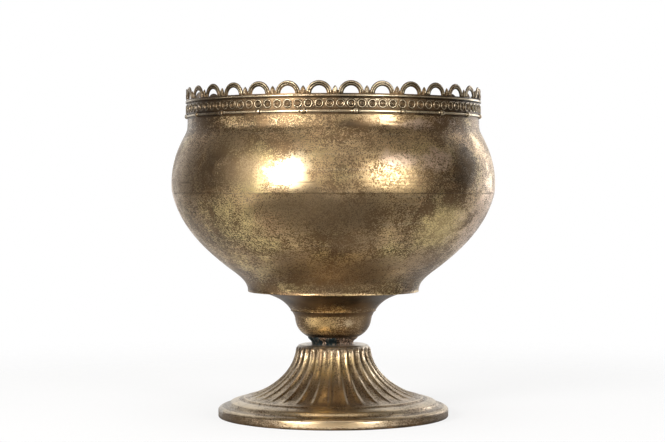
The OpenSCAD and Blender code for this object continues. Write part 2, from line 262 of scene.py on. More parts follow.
def upper_outline():
    """Outside of the upper shell, from the seam up to the neck's edge."""
    step_r = NECK_R + SHOULDER_STEP
    belly = (BELLY_R, SEAM_Z + BELLY_RISE)
    rise = SHOULDER_Z - belly[1]
    neck_z = SHOULDER_Z + 8.2
    edge = 0.15
    return (
        [(SEAM_R - edge, SEAM_Z), (SEAM_R - edge * 0.3, SEAM_Z + edge * 0.3)]
        + bezier((SEAM_R, SEAM_Z + edge), (SEAM_R + 0.35, SEAM_Z + 2.6),
                 (BELLY_R, belly[1] - 2.6), belly, 10)
        + bezier(belly, (BELLY_R, belly[1] + rise * 0.38),
                 (step_r + (BELLY_R - step_r) * 0.66, SHOULDER_Z - rise * 0.335),
                 (step_r, SHOULDER_Z), 44)
        + bezier((step_r, SHOULDER_Z), (NECK_R + 0.85, SHOULDER_Z + 1.8),
                 (NECK_R, SHOULDER_Z + 4.5), (NECK_R, neck_z), 14)
        + [(NECK_R, neck_z + (BOWL_TOP_Z - neck_z) * k / 40) for k in range(40)]
        + [(NECK_R, BOWL_TOP_Z - 0.3), (NECK_R - 0.3, BOWL_TOP_Z)])


def lower_outline():
    """Outside of the lower shell, from its floor up to the seam."""
    edge = 0.8
    lower_h = SEAM_Z - FLOOR_Z
    blend_top = (FLOOR_BLEND_R, FLOOR_Z + FLOOR_BLEND_H)
    return (
        [(BOWL_FLOOR_R - edge - 1.2, FLOOR_Z)]
        + arc((BOWL_FLOOR_R - edge + 0.2, FLOOR_Z + edge), edge, -90, 20, 8)
        + bezier((BOWL_FLOOR_R + 0.1, FLOOR_Z + 2.2), (BOWL_FLOOR_R + 1.1, FLOOR_Z + 8.3),
                 (FLOOR_BLEND_R - 6.5, blend_top[1] - 5.2), blend_top, 22)
        + bezier(blend_top, (SEAM_R - 15.4, FLOOR_Z + lower_h * 0.52),
                 (SEAM_R - 4.5, FLOOR_Z + lower_h * 0.78), (SEAM_R, SEAM_Z), 70)
        + [(SEAM_R, SEAM_Z - 0.06), (SEAM_R - 0.5, SEAM_Z - 0.02)])


def cup_outline():
    """Outside of the cup, from the collar past its bead to the bowl's floor."""
    waist_r = 32.9
    waist_z = CUP_Z + CUP_WAIST_H
    bead = 0.5
    return (
        [(20.3, CUP_Z + 0.9)]
        + bezier((20.6, CUP_Z), (waist_r - 0.4, CUP_Z + 5.4), (waist_r - 1.4, waist_z - 4),
                 (waist_r, waist_z), 52)[2:]
        + [(waist_r, waist_z), (waist_r + 0.9, waist_z + 1.7), (waist_r + 1.5, waist_z + 2.9)]
        + arc((waist_r + 2.75, waist_z + 4.5), bead, -60, 60, 8)
        + bezier((waist_r + 3.9, waist_z + 6.2), (waist_r + 9.5, waist_z + 14),
                 (CUP_RIM_R - 11, FLOOR_Z - 4.2), (CUP_RIM_R, FLOOR_Z - 0.15), 48)
        + [(CUP_RIM_R, FLOOR_Z - 0.02)])


def flare_outline():
    """The foot's fluted flare, from its shoulder down."""
    top = (FOOT_TOP_R, FOOT_H - FOOT_ROUND)
    rise = top[1] - FLUTE_END[1]
    return bezier(top, (FOOT_TOP_R + 3.7, FLUTE_END[1] + rise * 0.42),
                  (FLUTE_END[0] - 15.5, FLUTE_END[1] + 3.4), FLUTE_END, 64)


def flange_outline():
    """The foot's steps, lip and hem, outside the flutes."""
    ring = (FOOT_R - 11.9, 13.2)
    groove = (FOOT_R - 6.4, 9.5)
    end_r, end_z = FLUTE_END
    return (
        bezier(FLUTE_END, (end_r + 1.5, end_z - 0.1), (end_r + 1.9, end_z - 1.6),
               (end_r + 3.9, end_z - 1.7), 9)
        + bezier((end_r + 3.9, end_z - 1.7), (end_r + 6.3, end_z - 1.8),
                 (ring[0] - 2.5, ring[1] + 0.8), ring, 9)
        + bezier(ring, (ring[0] + 2.6, ring[1] - 0.8), (groove[0] - 2.6, groove[1] + 0.2), groove, 12)
        + bezier(groove, (groove[0] + 3.4, groove[1] - 0.3), (FOOT_R, 8.0), (FOOT_R, 5.6), 14)
        + [(FOOT_R, 5.6), (FOOT_R, 3.2), (FOOT_R, 1.2)]
        + arc((FOOT_R - 0.9, 0.9), 0.9, 0, -90, 6))


# Pieces

def bowl_upper_shell():
    """Upper shell: bright on its top edge, dark beside the wire and a little duller at its neck."""
    outline = upper_outline()
    wear = []
    for _, z in outline:
        if z > BOWL_TOP_Z - 0.5:
            wear.append(0.85)
        elif WIRE_Z - 2.4 < z < BAND_Z + 0.3:
            # Painted shade: just under and behind the wire the shell is made darkest, as shade from the
            # wire.
            wear.append(0.0)
        else:
            wear.append(0.5 - 0.14 * smooth((z - SHOULDER_Z + 6) / 8))
    inner = inset(outline, SHEET)[::-1]
    shape = Shape()
    lathe(shape, outline + inner, BOWL_SEGMENTS, wear + [INSIDE_WEAR] * len(inner), uneven=(42, 0.35))
    return shape.build("bowl_upper")


def bowl_lower_shell():
    """Lower shell with its flat floor, and the flange that enters the upper shell."""
    outline = lower_outline()
    lap_r = SEAM_R - SHEET - LAP_GAP
    # How many points of the outline lie round the floor's edge, on the seam's and beside the flange
    floor_edge, seam_edge, beside_flange = 10, 2, 12
    wall = [0.38 + 0.12 * smooth(k / 40) for k in range(len(outline) - floor_edge - seam_edge)]
    wear = [0.4] + [0.64] * (floor_edge - 1) + wall + [0.4, 0.3]
    skin = inset(outline, SHEET)[floor_edge:-beside_flange]
    path = (
        outline
        + [(lap_r, SEAM_Z + 0.1), (lap_r, SEAM_Z + LAP_H),
           (lap_r - SHEET, SEAM_Z + LAP_H), (lap_r - SHEET, SEAM_Z - SHEET)]
        + skin[::-1]
        + [(BOWL_FLOOR_R - 2.2, FLOOR_Z + SHEET), (40, FLOOR_Z + SHEET), (12, FLOOR_Z + SHEET),
           (BOLT_HOLE_R, FLOOR_Z + SHEET), (BOLT_HOLE_R, FLOOR_Z), (40, FLOOR_Z)])
    wear += [INSIDE_WEAR] * (len(path) - len(outline))
    shape = Shape()
    lathe(shape, path, BOWL_SEGMENTS, wear, uneven=(46, 0.3))
    return shape.build("bowl_lower")


def cup_wear(z):
    """How worn the cup is at a height: rubbed on its bead, and dull in the hollow below that."""
    up = z - CUP_Z
    if up <= CUP_WAIST_H + 0.9:
        return 0.05 + 0.45 * smooth((up - 0.8) / 4)
    if up <= CUP_WAIST_H + 4.4:
        return 0.16
    if up < CUP_WAIST_H + 6.4:
        return 0.56
    return 0.36 - 0.20 * smooth((up - 25) / 6)


def pedestal_cup():
    """Spun cup under the bowl, closed below but for the bolt's hole."""
    outline = cup_outline()
    inner = [(r, min(z, FLOOR_Z - 0.05)) for r, z in inset(outline, SHEET)]
    inner = [(r, max(z, CUP_Z + SHEET)) for r, z in inner]
    path = [(BOLT_HOLE_R, CUP_Z)] + outline + inner[::-1] + [(BOLT_HOLE_R, CUP_Z + SHEET)]
    hidden = 0.2
    wear = [hidden] + [cup_wear(z) for _, z in outline]
    wear += [hidden] * (len(path) - len(wear))
    shape = Shape()
    lathe(shape, path, CUP_SEGMENTS, wear, uneven=(18, 0.22))
    return shape.build("pedestal_cup_spun")


def neck_collar():
    """Short cast collar with a rough outside, flaring up into the cup."""
    z0, z1 = COLLAR_Z, CUP_Z
    h = z1 - z0
    count = 300
    outer = (
        bezier((17.0, z0), (16.7, z0 + h * 0.25), (17.0, z0 + h * 0.45), (18.4, z0 + h * 0.62), 12)
        + bezier((18.4, z0 + h * 0.62), (19.5, z0 + h * 0.74), (20.4, z0 + h * 0.90),
                 (21.2, z1 + 0.75), 10)
        + [(21.2, z1 + 0.75), (20.7, z1 + 1.0), (12.9, z1 + 1.0), (12.9, z0)])
    shape = Shape()
    rows = []
    for r, z in outer:
        row = []
        for k in range(count):
            turn = 2 * math.pi * k / count
            place = Vector(around(r, z, turn))
            rough = 0.0
            if r > 15 and z0 < z < z1:
                rough = 0.30 * noise.noise(place / 1.3) + 0.22 * noise.noise(place / 0.6)
            row.append(around(r + rough - 0.12, z, turn))
        rows.append(row)
    shape.grid(rows, [0.5] * len(rows), wrap_rows=True)
    return shape.build("collar", 70)


# Solder lumps round the collar: angle in degrees, half width, height and depth in millimetres
SOLDER_LUMPS = (
    (-82, 3.4, 6.6, 1.2), (-66, 3.8, 6.8, 1.3), (-46, 4.4, 6.8, 1.5), (-11, 3.2, 6.2, 1.4),
    (1, 2.8, 6.4, 1.3), (120, 2.6, 4.2, 1.1), (176, 3.0, 5.4, 1.4), (-138, 2.7, 4.6, 1.2))


def collar_tacks():
    """Uneven lumps of solder run round the collar's foot."""
    collar_r, flare_w, flare_h, lump_r = 16.9, 4.4, 6.8, 18.5
    steps, sides = 14, 32
    shape = Shape()
    for i, (angle, wide, high_up, deep) in enumerate(SOLDER_LUMPS):
        rows = []
        for a in range(steps + 1):
            lift = math.pi / 2 * (1 - a / steps)
            row = []
            spread = math.cos(lift) ** 0.5
            for b in range(sides):
                spin = 2 * math.pi * b / sides
                x = spread * math.cos(spin)
                y = spread * math.sin(spin)
                z = math.sin(lift)
                lump = 1 + 0.30 * noise.noise(Vector((x, y, z)) * 1.9 + Vector((i * 5.1, 0, 0)))
                lump += 0.16 * noise.noise(Vector((x, y, z)) * 5 + Vector((i * 3.7, 0, 0)))
                turn = math.radians(angle) + wide * lump * x / lump_r
                r = collar_r + flare_w * smooth(z * high_up / flare_h - 0.1)
                r += deep * lump * max(y, -0.4)
                row.append(around(r, COLLAR_Z + high_up * min(lump, 1.0) * z, turn))
            rows.append(row)
        shape.grid(rows, [0.6] * len(rows))
        shape.cap(rows[-1], 0.1, flip=True)
    return shape.build("solder_beads", 80)


def flute_depth(u, aside):
    """Depth of the foot's surface beside a ridge, u being 0 to 1 down the flare."""
    fade = smooth((u + 0.13) * 7) * smooth((1 - u) * 5)
    ridge = math.exp(-((aside / (1.35 + 0.45 * u)) ** 2))
    return FLUTE_DEPTH * (1 - 0.35 * u) * fade * (1 - ridge)


def flute_wear(u, aside):
    """How worn the flare is: bright on its ridges near the top, partly as painted highlight, and dull
    in its channels.
    """
    ridge = math.exp(-((aside / (1.0 + 0.6 * max(u, 0))) ** 2)) * smooth((1 - u) * 4)
    # Partly painted highlight: the ridges are made brighter near the top of the flare, where the lamps'
    # highlight falls.
    shine = smooth((u + 0.06) * 7) * (1 - 0.65 * smooth((u - 0.12) * 1.6))
    channel = 0.49 - 0.20 * smooth((0.40 - u) * 3)
    return channel + (0.06 + 0.24 * shine) * ridge


def flange_wear_and_shade(r, z):
    """How worn the flange is: rubbed on its steps and its lip, dull in between, and darkest on the
    lip's bottom edge as painted shade.
    """
    flute_r = FLUTE_END[0]
    for reach, worn in ((flute_r + 0.9, 0.72), (flute_r + 4.6, 0.40), (FOOT_R - 10.4, 0.70),
                        (FOOT_R - 3.6, 0.38)):
        if r < reach:
            return worn
    if z > 7.0:
        return 0.72
    # Painted shade: the lip's lowest 1.3 mm, where it stands on the floor, is made darkest.
    return 0.56 if z > 1.3 else 0.15


def fluted_row(path, i, u):
    """Points round the foot at one place of its path, and how worn each one is."""
    r, z = path[i]
    nr, nz = left_normal(path, i)
    fluted = -0.2 < u < 1
    count = FLUTE_COUNT * POINTS_PER_FLUTE
    row = []
    wear = []
    for k in range(count):
        step = k % POINTS_PER_FLUTE
        aside = min(step, POINTS_PER_FLUTE - step) * 2 * math.pi * r / count
        turn = math.radians(FLUTE_PHASE) + 2 * math.pi * k / count
        depth = flute_depth(u, aside) if fluted else 0.0
        depth += dent(around(r, z, turn), 15, 0.16)
        row.append(around(r - depth * nr, z - depth * nz, turn))
        wear.append(flute_wear(u, aside) if fluted else 0.50)
    return row, wear


def foot_inside(flare):
    """Inside of the foot, from its top down to the hem turned in under its lip."""
    wall = SHEET + FLUTE_DEPTH
    inside = [(BOLT_HOLE_R, FOOT_H - SHEET), (FOOT_TOP_R - FOOT_ROUND, FOOT_H - SHEET)]
    for i in range(2, len(flare), 3):
        nr, nz = left_normal(flare, i)
        inside.append((flare[i][0] - wall * nr, flare[i][1] - wall * nz))
    return inside + [
        (FLUTE_END[0], FLUTE_END[1] - wall), (FOOT_R - 11.9, 11.7), (FOOT_R - 7.4, 7.8),
        (FOOT_R - SHEET, 3.8), (FOOT_R - SHEET, SHEET), (FOOT_R - HEM_W, SHEET), (FOOT_R - HEM_W, 0)]


def fluted_foot():
    """Bell foot: its flat top, round shoulder, fluted flare, flange and inside."""
    count = FLUTE_COUNT * POINTS_PER_FLUTE
    top = [(BOLT_HOLE_R, FOOT_H), (16, FOOT_H), (21, FOOT_H), (24, FOOT_H)]
    shoulder = arc((FOOT_TOP_R - FOOT_ROUND, FOOT_H - FOOT_ROUND), FOOT_ROUND, 90, 8, 14)
    flare = flare_outline()
    path = top + shoulder + flare + flange_outline()
    first = len(top) + len(shoulder)
    # Partly painted reflection: the top disc's edge and the start of the shoulder are made bright, as
    # rubbed metal and in place of the pale surroundings they mirror.
    rubbed_edge_and_reflection = range(len(top) - 1, len(top) + 4)
    rows = []
    wear = []
    for i, (r, z) in enumerate(path):
        if i < first:
            u = -0.2 * (first - i) / len(shoulder)
        else:
            u = (i - first) / (len(flare) - 1)
        row, worn = fluted_row(path, i, u)
        if i in rubbed_edge_and_reflection:
            worn = [0.85] * count
        elif i >= first and r >= FLUTE_END[0] - 0.6:
            worn = [flange_wear_and_shade(r, z)] * count
        rows.append(row)
        wear.append(worn)
    phase = math.radians(FLUTE_PHASE)
    for r, z in foot_inside(flare)[::-1]:
        rows.append([around(r, z, phase + 2 * math.pi * k / count) for k in range(count)])
        wear.append(0.25)
    shape = Shape()
    shape.grid(rows, wear, wrap_rows=True)
    return shape.build("foot", 55)


def on_wall(turn, r, x, y, depth):
    """Point of an ornament laid on a round wall: x along it, y up, depth outwards."""
    return around(r + depth, y, turn + x / r)


def bead(middle, half, height):
    """Cross-section of a raised round bead, as places across it and heights."""
    points = []
    steps = 6
    for i in range(steps + 1):
        a = math.pi * (1 - i / steps)
        points.append((middle + half * math.cos(a), height * math.sin(a)))
    return points


def add_arch(shape, turn):
    """An arch with a broad outer bead, a fine sunk line and a narrow inner bead."""
    w = ARCH_R - ARCH_HOLE_R
    base = 0.40
    section = (
        [(ARCH_HOLE_R, -0.12), (ARCH_HOLE_R, base * 0.55), (ARCH_HOLE_R + w * 0.20, base * 0.7)]
        + [(p, base + h) for p, h in bead(ARCH_HOLE_R + w * 0.36, w * 0.13, 0.55)]
        + [(ARCH_HOLE_R + w * 0.535, base * 0.4)]
        + [(p, base + h) for p, h in bead(ARCH_HOLE_R + w * 0.75, w * 0.185, 0.60)]
        + [(ARCH_R - 0.1, base * 0.9), (ARCH_R, base * 0.6), (ARCH_R, -0.12)])
    ridge = [0.05, 0.4, 0.66, 0.72, 0.66, 0.4, 0.05]
    wear = [0.0, 0.0, 0.0] + ridge + [0.0] + ridge + [0.0, 0.0, 0.0]
    rows = []
    steps = 36
    for i in range(steps + 1):
        a = math.pi * i / steps
        row = []
        for p, depth in section:
            x = p * math.cos(a)
            y = GALLERY_TOP_Z - ARCH_R + p * math.sin(a)
            row.append(on_wall(turn, STRIP_R, x, y, depth))
        rows.append(row)
    foot = [worn * 0.2 for worn in wear]
    shape.grid(rows, [foot, foot] + [wear] * (len(rows) - 4) + [foot, foot])
    shape.cap(rows[0], 0.2, flip=True)
    shape.cap(rows[-1], 0.2)


# Half width of a bud at each height above its foot
BUD_OUTLINE = (
    (2.35, 0.0), (2.30, 0.5), (2.0, 1.0), (1.75, 1.35), (1.90, 1.9), (2.05, 2.6),
    (1.95, 3.4), (1.55, 4.3), (1.0, 5.2), (0.45, 5.9), (0.05, 6.3))


def add_bud(shape, turn):
    """A pointed leaf bud with a crease down its middle."""
    base = RAIL_TOP_Z - BUD_SUNK
    sides = 12
    rows = []
    wear = []
    for half, y in BUD_OUTLINE:
        row = []
        worn = []
        for i in range(sides + 1):
            a = math.pi * i / sides
            crease = 0.62 + 0.38 * min(abs(math.cos(a)) * 2, 1) if y > 1.3 else 0.8
            depth = 0.15 + min(half * 0.95, 1.45) * math.sin(a) * crease
            row.append(on_wall(turn, STRIP_R, -half * math.cos(a), base + y, depth))
            worn.append(0.95 * math.sin(a) ** 3 * (0.5 + 0.5 * min(abs(i - sides / 2) / 2, 1)))
        for i in (0.6, 0.2, -0.2, -0.6):
            row.append(on_wall(turn, STRIP_R, half * i, base + y, 0.1))
            worn.append(0.2)
        rows.append(row)
        wear.append(worn if y > 0.8 else [0.1] * len(row))
    shape.grid(rows, wear)
    shape.cap(rows[0], 0.1)
    shape.cap(rows[-1], 1.0, flip=True)


def add_web(shape, turn):
    """The low plate that fills the corner between two arches, behind a bud."""
    base = RAIL_TOP_Z - BUD_SUNK
    half_pitch = math.pi * STRIP_R / ARCH_COUNT
    web_h = 2.6
    steps = 8
    rows = []
    for i in range(steps + 1):
        y = web_h * i / steps
        half = half_pitch - math.sqrt(ARCH_R * ARCH_R - y * y) + 0.25
        face = [on_wall(turn, STRIP_R, half * x / 4, base + y, 0.38) for x in range(-4, 5)]
        back = [on_wall(turn, STRIP_R, half * x / 4, base + y, -0.05) for x in range(4, -5, -1)]
        rows.append(face + back)
    shape.grid(rows, [0.10] * len(rows))
    shape.cap(rows[0], 0.1)
    shape.cap(rows[-1], 0.2, flip=True)


# Place outwards from a ringlet's middle line, height and how worn it is
RINGLET_OUTLINE = (
    (1.05, 0.02, 0.40), (0.88, 0.03, 0.0), (0.55, 0.08, 0.0), (0.42, 0.36, 0.30),
    (0.20, 0.62, 0.74), (-0.02, 0.68, 0.84), (-0.26, 0.60, 0.70), (-0.50, 0.30, 0.10),
    (-0.68, 0.08, 0.0), (-1.05, 0.05, 0.05))
# The same for the small ring and the boss inside it, out from the ringlet's centre
STUD_OUTLINE = (
    (1.65, 0.20, 0.18), (1.35, 0.42, 0.70), (1.05, 0.30, 0.20), (0.80, 0.20, 0.0), (0.45, 0.30, 0.30),
    (0.10, 0.36, 0.44))


def add_ringlet(shape, turn, z):
    """A raised ring in a dirty outline, with a smaller ring and a faint boss in its sunk middle."""
    outline = [(RINGLET_R + p, depth, worn) for p, depth, worn in RINGLET_OUTLINE]
    outline += STUD_OUTLINE
    sides = 28
    rows = []
    for p, depth, _ in outline:
        rows.append([on_wall(turn, BAND_R, p * math.cos(2 * math.pi * i / sides),
                             z + p * math.sin(2 * math.pi * i / sides), depth) for i in range(sides)])
    shape.grid(rows, [worn for _, _, worn in outline])
    shape.cap(rows[-1], 0.42)


def gallery_strip():
    """The strip's band and rail, with its arches, buds and ringlets."""
    shape = Shape()
    rail_r = STRIP_R + 1.42
    face = RAIL_Z - 0.3
    band = [(BAND_R, BAND_Z + (BAND_H - 0.2) * k / 10) for k in range(11)]
    outline = (
        [(STRIP_R, BAND_Z)] + band
        + [(BAND_R - 0.3, BAND_Z + BAND_H), (BAND_R - 0.4, face - 0.05), (rail_r - 0.5, face),
           (rail_r - 0.12, face + 0.12), (rail_r, face + 0.4), (rail_r + 0.02, face + 0.9),
           (rail_r, face + 1.35), (rail_r - 0.12, face + 1.62), (rail_r - 0.45, face + 1.75),
           (STRIP_R + 0.5, face + 1.80), (STRIP_R + 0.45, RAIL_TOP_Z), (STRIP_R, RAIL_TOP_Z)])
    band_wear = [0.0, 0.05, 0.24] + [0.37] * 7 + [0.50, 0.10, 0.0, 0.0]
    rail_wear = [0.0, 0.25, 0.70, 0.78, 0.68, 0.25, 0.0, 0.0, 0.0, 0.0]
    lathe(shape, outline, STRIP_SEGMENTS, band_wear + rail_wear)
    pitch = 2 * math.pi / ARCH_COUNT
    phase = math.radians(ARCH_PHASE)
    for i in range(ARCH_COUNT):
        add_arch(shape, phase + i * pitch)
        add_bud(shape, phase + (i + 0.5) * pitch)
        add_web(shape, phase + (i + 0.5) * pitch)
    count = ARCH_COUNT * RINGLETS_PER_ARCH
    for i in range(count):
        add_ringlet(shape, phase + i * 2 * math.pi / count, BAND_Z + BAND_H / 2 - 0.3)
    return shape.build("gallery", 50)


# Place along a knot, its radius there and how worn it is
KNOT_OUTLINE = (
    (-3.7, 0.7, 0.4), (-3.55, 1.05, 0.9), (-3.1, 1.25, 1.0), (-2.6, 1.15, 0.8), (-2.25, 0.95, 0.05),
    (-2.05, 1.3, 0.1), (-1.7, 1.8, 0.6), (-1.0, 2.08, 0.8), (0.0, 2.08, 0.6), (1.0, 2.08, 0.8),
    (1.7, 1.8, 0.6), (2.05, 1.3, 0.1), (2.25, 0.95, 0.05), (2.6, 1.15, 0.8), (3.1, 1.25, 1.0),
    (3.55, 1.05, 0.9), (3.7, 0.7, 0.4))


def add_knot(shape, turn, i):
    """A turned knot on the wire, with a thin collar at each end. i varies its unevenness."""
    sides = 24
    rows = []
    for x, r, _ in KNOT_OUTLINE:
        row = []
        for k in range(sides):
            a = 2 * math.pi * k / sides
            place = Vector((x, 2 * math.cos(a), 2 * math.sin(a) + 9 * i))
            lump = 1 + 0.10 * noise.noise(place / 1.3)
            depth = max(0.65 + r * lump * math.cos(a) * 0.8, 0.02)
            row.append(on_wall(turn, STRIP_R, x, WIRE_Z + r * math.sin(a) * min(lump, 1.0), depth))
        rows.append(row)
    shape.grid(rows, [worn for _, _, worn in KNOT_OUTLINE])
    shape.cap(rows[0], 0.2, flip=True)
    shape.cap(rows[-1], 0.2)


def knotted_wire():
    """Half-round wire under the strip, with its knots."""
    shape = Shape()
    half_h = 0.95
    deep = 1.25
    back_r = STRIP_R + 0.02
    front_r = STRIP_R + 0.3
    section = [(back_r, WIRE_Z - half_h)]
    for i in range(11):
        a = math.pi * (i / 10 - 0.5)
        flat = math.copysign(abs(math.sin(a)) ** 0.8, math.sin(a))
        section.append((front_r + (deep - 0.3) * math.cos(a) ** 0.45, WIRE_Z + half_h * flat))
    section.append((back_r, WIRE_Z + half_h))
    wear = [0.0, 0.0, 0.2, 0.6] + [0.78] * 5 + [0.6, 0.2, 0.0, 0.0]
    lathe(shape, section, BOWL_SEGMENTS, wear)
    for i in range(KNOT_COUNT):
        add_knot(shape, math.radians(KNOT_PHASE + i * 360 / KNOT_COUNT + KNOT_SHIFT.get(i, 0.0)), i)
    return shape.build("knotted_wire_round", 50)


# Materials

class Nodes:
    """A node tree, built step by step."""

    def __init__(self, tree):
        self.tree = tree
        tree.nodes.clear()

    def add(self, kind, **settings):
        """Adds a node of a kind and sets its properties."""
        node = self.tree.nodes.new(kind)
        for key, value in settings.items():
            setattr(node, key, value)
        return node

    def set(self, socket, value):
        """Links a socket to another one, or gives it a plain value."""
        if isinstance(value, bpy.types.NodeSocket):
            self.tree.links.new(value, socket)
        else:
            socket.default_value = value

    def ramp(self, value, low, high):
        """Stretches low..high to 0..1, smoothly."""
        node = self.add("ShaderNodeMapRange", interpolation_type="SMOOTHSTEP", clamp=True)
        self.set(node.inputs["Value"], value)
        node.inputs["From Min"].default_value = low
        node.inputs["From Max"].default_value = high
        return node.outputs["Result"]

    def span(self, value, low, high):
        """Maps 0..1 to low..high."""
        node = self.add("ShaderNodeMapRange", clamp=True)
        self.set(node.inputs["Value"], value)
        node.inputs["To Min"].default_value = low
        node.inputs["To Max"].default_value = high
        return node.outputs["Result"]

    def math(self, operation, a, b=0.0):
        """One step of arithmetic on sockets or numbers."""
        node = self.add("ShaderNodeMath", operation=operation)
        self.set(node.inputs[0], a)
        self.set(node.inputs[1], b)
        return node.outputs["Value"]

    def split(self, vector):
        """X, Y and Z of a vector."""
        node = self.add("ShaderNodeSeparateXYZ")
        self.set(node.inputs[0], vector)
        return node.outputs["X"], node.outputs["Y"], node.outputs["Z"]

    def mix(self, share, a, b):
        """Mixes two colours, which are inputs 6 and 7 and output 2 of the node."""
        node = self.add("ShaderNodeMix", data_type="RGBA")
        self.set(node.inputs["Factor"], share)
        for socket, value in ((node.inputs[6], a), (node.inputs[7], b)):
            self.set(socket, value if isinstance(value, bpy.types.NodeSocket) else (*value, 1.0))
        return node.outputs[2]

    def tint(self, base, colour, share, strength):
        """Mixes a colour into the base, by a varying share times a plain strength."""
        return self.mix(self.math("MULTIPLY", share, strength), base, colour)


class Finish(Nodes):
    """A material's node tree, with its shader and the place in the object that noise is laid over."""

    def __init__(self, name):
        self.material = bpy.data.materials.new(name)
        self.material.use_nodes = True
        super().__init__(self.material.node_tree)
        self.out = self.add("ShaderNodeOutputMaterial")
        self.shader = self.add("ShaderNodeBsdfPrincipled")
        self.set(self.out.inputs["Surface"], self.shader.outputs["BSDF"])
        self.place = self.add("ShaderNodeTexCoord").outputs["Object"]

    def scaled(self, scale):
        """The place in the object, in units of scale for each metre."""
        node = self.add("ShaderNodeMapping")
        self.set(node.inputs["Vector"], self.place)
        node.inputs["Scale"].default_value = scale
        return node.outputs["Vector"]

    def noise(self, scale, detail=4.0, rough=0.5, distort=0.0, stretch=(1, 1, 1), offset=0.0):
        """Noise from 0 to 1. scale is in units for each metre, and offset picks another pattern."""
        node = self.add("ShaderNodeTexNoise", noise_dimensions="4D")
        self.set(node.inputs["Vector"], self.scaled(tuple(scale * s for s in stretch)))
        node.inputs["W"].default_value = offset
        node.inputs["Scale"].default_value = 1.0
        node.inputs["Detail"].default_value = detail
        node.inputs["Roughness"].default_value = rough
        node.inputs["Distortion"].default_value = distort
        return node.outputs["Fac"]

    def wear(self):
        """How worn the surface is, as its shape holds it, with painted shade and painted reflection in
        places.
        """
        return self.add("ShaderNodeAttribute", attribute_name="wear").outputs["Fac"]

    def outside(self):
        """1 where the surface faces away from the pot's axis, 0 where it faces it."""
        spread = self.add("ShaderNodeVectorMath", operation="MULTIPLY")
        self.set(spread.inputs[0], self.place)
        spread.inputs[1].default_value = (1, 1, 0)
        facing = self.add("ShaderNodeVectorMath", operation="DOT_PRODUCT")
        self.set(facing.inputs[0], spread.outputs["Vector"])
        self.set(facing.inputs[1], self.add("ShaderNodeNewGeometry").outputs["True Normal"])
        return self.ramp(facing.outputs["Value"], 0.0, 0.004)

    def bump(self, height, distance, strength, under=None):
        """Surface raised by height, on top of the bump under it. distance is in metres."""
        node = self.add("ShaderNodeBump")
        node.inputs["Distance"].default_value = distance
        node.inputs["Strength"].default_value = strength
        self.set(node.inputs["Height"], height)
        if under:
            self.set(node.inputs["Normal"], under)
        return node.outputs["Normal"]


DIRT = (0.027, 0.020, 0.013)
GRIME_AND_SHADE = (0.070, 0.050, 0.030)
UMBER = (0.134, 0.083, 0.042)
BROWN = (0.326, 0.222, 0.118)
TAN = (0.360, 0.270, 0.165)
BRASS = (0.588, 0.418, 0.216)
OLIVE = (0.650, 0.512, 0.238)
COPPER = (0.570, 0.372, 0.200)
AMBER = (0.490, 0.335, 0.140)
ROSE = (0.670, 0.495, 0.365)
GOLD = (0.830, 0.705, 0.485)
GILT = (0.720, 0.500, 0.240)
SILVER = (0.620, 0.570, 0.500)
FROST = (0.640, 0.590, 0.530)

# What the kinds of marks change: the bare metal's colour, the cover of dark patina over it,
# and a film over both
# Some of these marks are painted light, as noted where they are placed: some brown and dull films are
# painted shade, and some polish and clean marks are painted highlight.
MARK_METALS = {"olive": (OLIVE, 0.78), "amber": (AMBER, 0.75), "rose": (ROSE, 0.80),
               "brown": (TAN, 0.70), "dull": (UMBER, 0.60)}
MARK_COVERS = {"olive": 0.05, "rose": -0.11, "clean_and_highlight": -0.20, "dull": 0.25}
MARK_FILMS = {"dull": ((0.120, 0.085, 0.052), 0.45), "brown": ((0.262, 0.174, 0.093), 0.40)}


def blotch(g, turn, height, ragged, places):
    """Soft marks: angle in degrees and height in mm of each, with its half sizes."""
    total = None
    for angle, level, wide, tall in places:
        across = g.math("DIVIDE", g.math("SUBTRACT", turn, math.radians(angle)), math.radians(wide))
        up = g.math("DIVIDE", g.math("SUBTRACT", height, level * MM), tall * MM)
        square = g.math("ADD", g.math("MULTIPLY", across, across), g.math("MULTIPLY", up, up))
        share = g.ramp(g.math("ADD", g.math("SQRT", square), ragged), 1.45, 0.45)
        total = share if total is None else g.math("MAXIMUM", total, share)
    return total


def mark_shares(g, clouds, marks):
    """Share of each kind of mark over a piece, with ragged edges."""
    x, y, height = g.split(g.place)
    turn = g.math("ARCTAN2", x, g.math("MULTIPLY", y, -1.0))
    ragged = g.math("MULTIPLY", g.math("SUBTRACT", clouds, 0.5), 2.4)
    return {kind: blotch(g, turn, height, ragged, places) for kind, places in marks.items()}


def bare_metal(g, patches, rings, hue, metals, olive, copper, streaks):
    """Brass in two tones, yellower and redder in places, with turning streaks."""
    metal = g.mix(g.ramp(patches, 0.36, 0.64), *metals)
    metal = g.tint(metal, OLIVE, g.ramp(hue, 0.50, 0.64), olive)
    metal = g.tint(metal, COPPER, g.ramp(hue, 0.46, 0.34), copper)
    metal = g.tint(metal, GOLD, g.ramp(rings, 0.52, 0.72), 0.30 * streaks)
    return g.tint(metal, UMBER, g.ramp(rings, 0.48, 0.28), 0.35 * streaks)


def speckle(g, cover, fine, crumbs, share):
    """Share of dark patina: peppered dots that close up into blotches where the cover is high."""
    grain = g.math("ADD", g.math("MULTIPLY", fine, 0.58), g.math("MULTIPLY", crumbs, 0.42))
    over = g.math("SUBTRACT", grain, g.span(cover, 0.610, 0.390))
    dark = g.ramp(over, -0.011, 0.017)
    if "etched" in share:
        strokes = g.noise(1.0, 3, 0.62, 1.6, stretch=(300, 300, 760), offset=15.0)
        strokes = g.math("MULTIPLY", g.ramp(strokes, 0.525, 0.57), share["etched"])
        dark = g.math("MAXIMUM", dark, g.math("MULTIPLY", strokes, 0.85))
    if "scratch" in share:
        dark = g.math("MAXIMUM", dark, g.math("MULTIPLY", share["scratch"], 0.75))
    return dark


